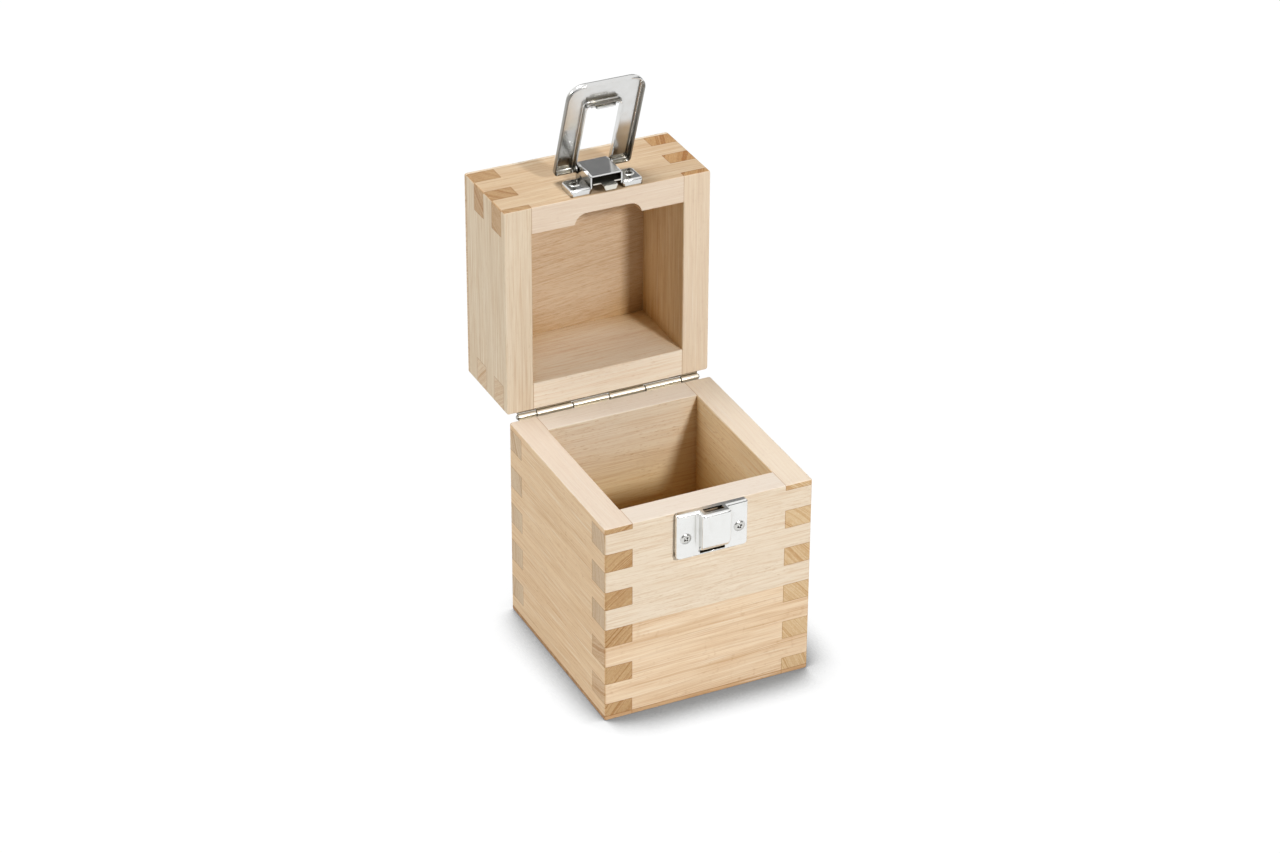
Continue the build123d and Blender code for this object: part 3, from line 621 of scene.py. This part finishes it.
def piece(name, mesh, body, node, looks, turns, thickness=0.0, inside=1, discs=()):
    """A piece drawn closed in mm becomes an object at rest in metres. turns are the angles in degrees
    that it has turned about X at rest, each round its own point in Y and Z. inside is the step in
    looks from a sheet's outer face to its inner one, and discs are the flat round lugs on it."""
    bmesh.ops.remove_doubles(mesh, verts=mesh.verts, dist=0.003)
    bmesh.ops.recalc_face_normals(mesh, faces=mesh.faces)
    for x, y, z, radius, outward in discs:
        ring = bmesh.ops.create_circle(mesh, cap_ends=True, segments=disc_steps, radius=radius,
                                       matrix=Matrix.Translation((x, y, z)) @ facing_x)["verts"]
        disc = ring[0].link_faces[0]
        disc.normal_update()
        if disc.normal.x * outward < 0:
            disc.normal_flip()
    for angle, y, z in turns:
        bmesh.ops.rotate(mesh, verts=mesh.verts, cent=(0, y, z),
                         matrix=Matrix.Rotation(math.radians(angle), 3, "X"))
    bmesh.ops.scale(mesh, verts=mesh.verts, vec=(0.001, 0.001, 0.001))
    data = bpy.data.meshes.new(name)
    mesh.to_mesh(data)
    mesh.free()
    for look in looks:
        data.materials.append(look)
    made = bpy.data.objects.new(name, data)
    scene.collection.objects.link(made)
    if thickness:
        solid = made.modifiers.new("sheet", "SOLIDIFY")
        solid.thickness = thickness / 1000
        solid.offset = -1.0
        solid.use_even_offset = inside == 0
        solid.material_offset = inside
    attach(made, body)
    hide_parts(node)


def catch_upper():
    """The faces on the catch's upper side."""
    return [face for face in catch.faces if middle(face).z > catch_top - close / 2]


catch_face = -half_depth - catch_depth
catch = bmesh.new()
outline(catch, [(-catch_half, catch_low), (catch_half, catch_low), (catch_half, catch_top),
                (-catch_half, catch_top)], catch_depth)
for x in (-cap_half, cap_half):
    cut(catch, catch.faces[:], (x, 0, 0), (1, 0, 0))
cut(catch, catch.faces[:], (0, 0, cap_low), (0, 0, 1))
cap = [face for face in catch.faces if abs(middle(face).x) < cap_half and middle(face).z > cap_low]
raised(catch, cap, cap_depth - catch_depth)
to_wood(catch, [edge for edge in catch.edges if edge.is_boundary])
corners = [edge for edge in catch.edges if abs(middle(edge).x) > catch_half - close
           and middle(edge).z < catch_low + close and middle(edge).y > catch_face + close]
rounded(catch, corners, plate_corner, fold_steps)
foot = [edge for edge in catch.edges
        if middle(edge).y < close - half_depth - cap_depth and middle(edge).z < cap_low + close]
curl = {vert for face in rounded(catch, foot, cap_foot, cap_foot_steps) for vert in face.verts}
for vert in curl:
    vert.co.z = cap_low + (vert.co.z - cap_low) * cap_foot_stretch
for x in (-slot_half, slot_half):
    cut(catch, catch_upper(), (x, 0, 0), (1, 0, 0))
for depth in (slot_near, slot_far):
    cut(catch, [face for face in catch_upper() if abs(middle(face).x) < slot_half],
        (0, -half_depth - depth, 0), (0, 1, 0))
slot = [face for face in catch_upper() if abs(middle(face).x) < slot_half
        and slot_near < -half_depth - middle(face).y < slot_far]
bmesh.ops.delete(catch, geom=slot, context="FACES")
fold(catch, catch_fold)
for place, normal in (((-slit_half, 0, 0), (1, 0, 0)), ((slit_half, 0, 0), (1, 0, 0)),
                      ((0, 0, slit_low), (0, 0, 1))):
    cut(catch, [face for face in catch.faces if middle(face).z < slit_cut_high], place, normal)
slit = [face for face in catch.faces if abs(middle(face).x) < slit_half
        and slit_low < middle(face).z < slit_high and middle(face).y > catch_face - slit_depth]
bmesh.ops.delete(catch, geom=slit, context="FACES")
piece("catch_plate_pressed", catch, "base", "catch_plate", [catch_nickel_lightened, painted_gap_shade],
      (), sheet)

# Plate screws, two in the catch and two in the latch plate: nickel-plated steel, with oval heads and
# a cross. They stand a little proud of the sheet in their countersinks.
screw_nickel = plated("nickel_screw", srgb(216, 215, 211), 0.22, grime_and_shade=0.3)
ear_depth = 3.35
screw_spots = {"base": (13.4, catch_depth, 89.6), "lid": (13.8, ear_depth, lid_rim + 7.4)}
screw_steps = 24
screw_head = 2.4
screw_rise = 0.4
screw_edge = 0.15
screw_shank = 1.3
gap_ring = 2.75
cross_arm = 1.3
cross_half = 0.38
cross_sink = 0.9
cross_taper = 0.55
# Each ring below the head: its radius, its height, and 1 where the dark gap shows, as painted shade.
screw_rings = ((screw_head + 0.1, -0.05, 0), (gap_ring, 0.03, 1), (screw_shank, -1.7, 0),
               (screw_shank, -8.5, 0))


def screw(mesh, x, depth, z, turn):
    """One screw, seen from the front: its cross, its domed head, the gap round it and its cone."""
    made = bmesh.new()
    ring = bmesh.ops.create_circle(made, segments=screw_steps, radius=screw_head)["verts"]
    circle = made.edges[:]
    a, b = cross_arm, cross_half
    points = [(a, -b), (a, b), (b, b), (b, a), (-b, a), (-b, b), (-a, b), (-a, -b), (-b, -b), (-b, -a),
              (b, -a), (b, -b)]
    loop = [made.verts.new((u, v, 0)) for u, v in points]
    cross = [made.edges.new((loop[n], loop[(n + 1) % len(loop)])) for n in range(len(loop))]
    bmesh.ops.bridge_loops(made, edges=circle + cross)
    for vert in made.verts:
        vert.co.z = screw_rise * (1 - (vert.co.xy.length / screw_head) ** 2) + screw_edge
    grown = bmesh.ops.extrude_edge_only(made, edges=cross)["geom"]
    sunk = [part for part in grown if isinstance(part, bmesh.types.BMVert)]
    for vert in sunk:
        vert.co = Vector((vert.co.x * cross_taper, vert.co.y * cross_taper, vert.co.z - cross_sink))
    grown += bmesh.ops.contextual_create(made, geom=sunk)["faces"]
    # The cross's recess takes the dark finish: painted shade.
    for part in grown:
        if isinstance(part, bmesh.types.BMFace):
            part.material_index = 1
    for face in made.faces:
        face.smooth = abs(face.normal.z) > 0.5
    circle = [edge for edge in made.edges if all(vert in ring for vert in edge.verts)]
    for radius, height, gap in screw_rings:
        grown = bmesh.ops.extrude_edge_only(made, edges=circle)["geom"]
        circle = [part for part in grown if isinstance(part, bmesh.types.BMEdge)]
        for part in grown:
            if isinstance(part, bmesh.types.BMFace):
                part.material_index = gap
                part.smooth = True
            if isinstance(part, bmesh.types.BMVert):
                flat = part.co.xy.normalized() * radius
                part.co = Vector((flat.x, flat.y, height))
    bmesh.ops.contextual_create(made, geom=circle)
    for angle, axis in ((turn, "Z"), (90, "X")):
        bmesh.ops.rotate(made, verts=made.verts, cent=(0, 0, 0),
                         matrix=Matrix.Rotation(math.radians(angle), 3, axis))
    bmesh.ops.translate(made, verts=made.verts, vec=(x, -half_depth - depth, z))
    bmesh.ops.recalc_face_normals(made, faces=made.faces)
    carried = bpy.data.meshes.new("screw")
    made.to_mesh(carried)
    made.free()
    mesh.from_mesh(carried)
    bpy.data.meshes.remove(carried)


lid_opening = (-90, hinge_y, hinge_z)
for body, node, turns, angles in (("base", "catch_screws", (), (38, 22)),
                                  ("lid", "latch_screws", (lid_opening,), (20, 65))):
    x, depth, z = screw_spots[body]
    pair = bmesh.new()
    screw(pair, -x, depth, z, angles[0])
    screw(pair, x, depth, z, angles[1])
    piece(f"{node}_oval", pair, body, node, [screw_nickel, painted_gap_shade], turns)

# Hinge: two strips of nickel-plated steel, rolled in turn into knuckles round a steel pin and held
# to the back walls by three screws each. Their sheared edges and the knuckle ends are a darker, duller
# nickel: partly bare steel, partly painted shade for the gaps between the knuckles and above the barrel.
hinge_nickel = plated("nickel_hinge", srgb(226, 218, 203), 0.38, grime_and_shade=0.5)
hinge_shade = plated("nickel_hinge_edge_shade", srgb(168, 155, 134), 0.5)
pin_steel = plated("steel_pin", srgb(176, 174, 168), 0.3)
hinge_half = 46.75
knuckle_length = 18.7
knuckle_radius = 1.6
knuckle_gap = 0.5
knuckle_steps = 32
leaf_thickness = 0.9
leaf_near, leaf_far = 0.75, 15.0
leaf_corner = 2.0
leaf_fold = 0.16
leaf_screw_x = 34.0
leaf_screw_drop = 9.0
web_near, web_overlap, web_set_back = 0.45, 0.2, 0.1
sheared_reach = 0.8


def slab(mesh, low, high):
    """A box of sheet between two corners."""
    size = [b - a for a, b in zip(low, high)]
    centre = [(a + b) / 2 for a, b in zip(low, high)]
    bmesh.ops.create_cube(mesh, size=1.0,
                          matrix=Matrix.Translation(centre) @ Matrix.Diagonal((*size, 1)))


ends = [-hinge_half] + [knuckle_length * n for n in range(-2, 3)] + [hinge_half]
for body, up, turns, first in (("base", -1, (), 0), ("lid", 1, (lid_opening,), 1)):
    leaf = bmesh.new()
    z_near, z_far = hinge_z + up * leaf_near, hinge_z + up * leaf_far
    slab(leaf, (-hinge_half, half_depth, min(z_near, z_far)),
         (hinge_half, half_depth + leaf_thickness, max(z_near, z_far)))
    outer = [edge for edge in leaf.edges
             if abs(middle(edge).z - z_far) < close and abs(middle(edge).x) > 1]
    rounded(leaf, outer, leaf_corner, fold_steps)
    for x0, x1 in list(zip(ends[:-1], ends[1:]))[first::2]:
        x0, x1 = x0 + knuckle_gap / 2, x1 - knuckle_gap / 2
        z0, z1 = sorted((hinge_z + up * web_near, z_near + up * web_overlap))
        slab(leaf, (x0, half_depth + web_set_back, z0), (x1, half_depth + leaf_thickness, z1))
        barrel = Matrix.Translation(((x0 + x1) / 2, hinge_y, hinge_z)) @ facing_x
        bmesh.ops.create_cone(leaf, cap_ends=True, segments=knuckle_steps, radius1=knuckle_radius,
                              radius2=knuckle_radius, depth=x1 - x0, matrix=barrel)
    fold(leaf, leaf_fold)
    # Painted shade: the lid leaf's sheared near edge and every knuckle end take the darker finish.
    for face in leaf.faces:
        spot = middle(face)
        sheared = 0 < spot.z - hinge_z < sheared_reach and spot.y < half_depth + leaf_thickness
        knuckle_end = abs(face.normal.x) > 0.9 and abs(spot.z - hinge_z) < knuckle_radius
        face.material_index = int(sheared or knuckle_end)
    piece(f"hinge_leaf_{body}_rolled", leaf, body, f"hinge_leaf_{body}",
          [hinge_nickel, hinge_shade], turns)
    three = bmesh.new()
    for x, turn in ((-leaf_screw_x, 12), (0, 55), (leaf_screw_x, 33)):
        screw(three, x, leaf_thickness, hinge_z + up * leaf_screw_drop, turn)
    bmesh.ops.rotate(three, verts=three.verts, cent=(0, 0, 0), matrix=Matrix.Rotation(math.pi, 3, "Z"))
    piece(f"hinge_screws_{body}_oval", three, body, f"hinge_screws_{body}",
          [screw_nickel, painted_gap_shade], turns)
finish_node("hinge_pin", pin_steel)

# Latch plate, on the lid's front: one sheet of nickel-plated steel pressed into two ears, which take
# the screws, and a tall hood between them. The hood is open in front for the claw and behind, where
# the lever turns in its two cheeks.
bright_nickel = plated("nickel_bright", srgb(221, 221, 220), 0.17)
latch_half = 18.1
latch_fold = 1.0
ear_low, ear_high = lid_rim + 1.3, lid_rim + 13.1
hood_half = 8.0
hood_low, hood_high = lid_rim + 2.0, lid_rim + 18.4
hood_depth = 8.5
pivot_y, pivot_z = -half_depth - 5.95, lid_rim + 17.0
cheek_ring = 2.4
ear_face = -half_depth - ear_depth
latch = bmesh.new()
for side in (-1, 1):
    ear = ((latch_half, ear_low), (hood_half, ear_low), (hood_half, hood_low), (hood_half, ear_high),
           (latch_half, ear_high))
    outline(latch, [(side * x, z) for x, z in ear], ear_depth)
outline(latch, [(-hood_half, hood_low), (hood_half, hood_low), (hood_half, ear_high),
                (hood_half, hood_high), (-hood_half, hood_high), (-hood_half, ear_high)], ear_depth)
bmesh.ops.remove_doubles(latch, verts=latch.verts, dist=0.01)
bmesh.ops.recalc_face_normals(latch, faces=latch.faces)
hood = [face for face in latch.faces if abs(middle(face).x) < hood_half]
raised(latch, hood, hood_depth - ear_depth)
mouths = [face for face in latch.faces
          if abs(middle(face).x) < close and middle(face).y > close - half_depth - hood_depth
          and not hood_low + close <= middle(face).z <= hood_high - close]
bmesh.ops.delete(latch, geom=mouths, context="FACES")
to_wood(latch, [edge for edge in latch.edges if edge.is_boundary
                and middle(edge).y > ear_face - close and abs(middle(edge).x) > hood_half - close])
corners = [edge for edge in latch.edges
           if abs(middle(edge).x) > latch_half - close and middle(edge).y > ear_face + close
           and middle(edge).z > ear_high - close
           and abs(edge.verts[0].co.z - edge.verts[1].co.z) < close]
rounded(latch, corners, plate_corner, fold_steps)
fold(latch, latch_fold)
piece("latch_plate_pressed", latch, "lid", "latch_plate", [bright_nickel, painted_gap_shade],
      (lid_opening,), sheet,
      discs=[(side * hood_half, pivot_y, pivot_z, cheek_ring, side) for side in (-1, 1)])

# Lever: a loop pressed from one sheet of nickel-plated steel as a channel, its edges turned to the
# wood. A tongue in the middle of its end is bent in further and goes under the catch's cap. Lugs on
# its legs turn on the crank pin, outside the cheeks of the hood.
# Grime and painted shade: its hollows darken further out, low on its legs near the lid and the hood.
lever_nickel = plated("nickel_lever", srgb(221, 221, 220), 0.17, reach=0.02)
# Painted shade: a darker nickel for the outer sides of the lever's legs, along its outline.
lever_side_shade_nickel = plated("nickel_lever_side_shade", srgb(150, 148, 143), 0.3)
lever_half = 19.3
lever_low, lever_high = lid_rim - 35.4, lid_rim + 19.2
lever_face = 8.9
lever_fold = 1.4
channel_depth = 3.2
leg_inner = 8.6
loop_end = 81.0
loop_corner, gap_corner, tail_corner = 8.0, 1.6, 2.0
corner_steps = 10
lug_radius = 2.0
tongue_half = ((6.7, 0.15), (5.2, 0.9), (4.4, 2.2))
tongue_corner, tongue_corner_steps = 0.35, 3
tongue_rim, tongue_lift = 0.45, 0.2
shaded_side_beyond = 18
lever_raise = -70.5
lever = bmesh.new()
outline(lever, [(-lever_half, lever_low), (lever_half, lever_low), (lever_half, lever_high),
                (leg_inner, lever_high), (leg_inner, loop_end), (-leg_inner, loop_end),
                (-leg_inner, lever_high), (-lever_half, lever_high)], lever_face)
for radius, wanted in ((loop_corner, lambda c: c.z < lever_low + close),
                       (gap_corner, lambda c: abs(c.z - loop_end) < close),
                       (tail_corner, lambda c: c.z > lever_high - close and abs(c.x) > lever_half - close)):
    bmesh.ops.bevel(lever, geom=[vert for vert in lever.verts if wanted(vert.co)], offset=radius,
                    offset_type="OFFSET", segments=corner_steps, profile=0.5, affect="VERTICES",
                    clamp_overlap=True, material=-1)
skirt = bmesh.ops.extrude_edge_only(lever, edges=lever.edges[:])["geom"]
skirt = [part for part in skirt if isinstance(part, bmesh.types.BMVert)]
bmesh.ops.translate(lever, verts=skirt, vec=(0, channel_depth, 0))
edge_y = -half_depth - lever_face + channel_depth
root = [edge for edge in lever.edges if edge.is_boundary and abs(middle(edge).x) < close
        and abs(middle(edge).z - loop_end) < close and abs(middle(edge).y - edge_y) < close]
root_left, root_right = sorted(root[0].verts, key=lambda vert: vert.co.x)
tongue = [root_right] + [lever.verts.new((x, edge_y + y, loop_end)) for x, y in tongue_half]
tongue += [lever.verts.new((-x, edge_y + y, loop_end)) for x, y in reversed(tongue_half)] + [root_left]
tongue = lever.faces.new(tongue)
shoulders = [vert for vert in tongue.verts if vert.co.y > edge_y + close]
bmesh.ops.bevel(lever, geom=shoulders, offset=tongue_corner, offset_type="OFFSET",
                segments=tongue_corner_steps, profile=0.5, affect="VERTICES", clamp_overlap=True,
                material=-1)
bmesh.ops.recalc_face_normals(lever, faces=lever.faces)
fold(lever, lever_fold)
tongue = max(lever.faces, key=lambda face: max(vert.co.y for vert in face.verts))
bmesh.ops.inset_individual(lever, faces=[tongue], thickness=tongue_rim, depth=0.0)
bmesh.ops.translate(lever, verts=tongue.verts[:], vec=(0, 0, tongue_lift))
tongue.smooth = False
# The outer sides of the legs take the darker nickel: painted shade.
for face in lever.faces:
    face.material_index = int(abs(face.normal.y) < 0.05 and abs(middle(face).x) > shaded_side_beyond)
piece("latch_lever_pressed", lever, "lever", "latch_lever",
      [lever_nickel, lever_side_shade_nickel], ((lever_raise, pivot_y, pivot_z), lid_opening), sheet, inside=0,
      discs=[(side * leg_inner, pivot_y, pivot_z, lug_radius, -side) for side in (-1, 1)])

# Crank pin and claw, inside the hood: a steel pin that turns in the cheeks, and a nickel-plated claw
# bent round its offset middle. As the lever goes down, the pin draws the claw up.
# Painted light: the claw's nickel is toned lighter, with little darkening in its hollows, deep in the
# hood's dark mouth.
claw_nickel_lightened = plated("nickel_claw_lightened", srgb(228, 224, 213), 0.32, grime_and_shade=0.15)
finish_node("latch_claw", claw_nickel_lightened)
finish_node("latch_crank_pin", pin_steel)
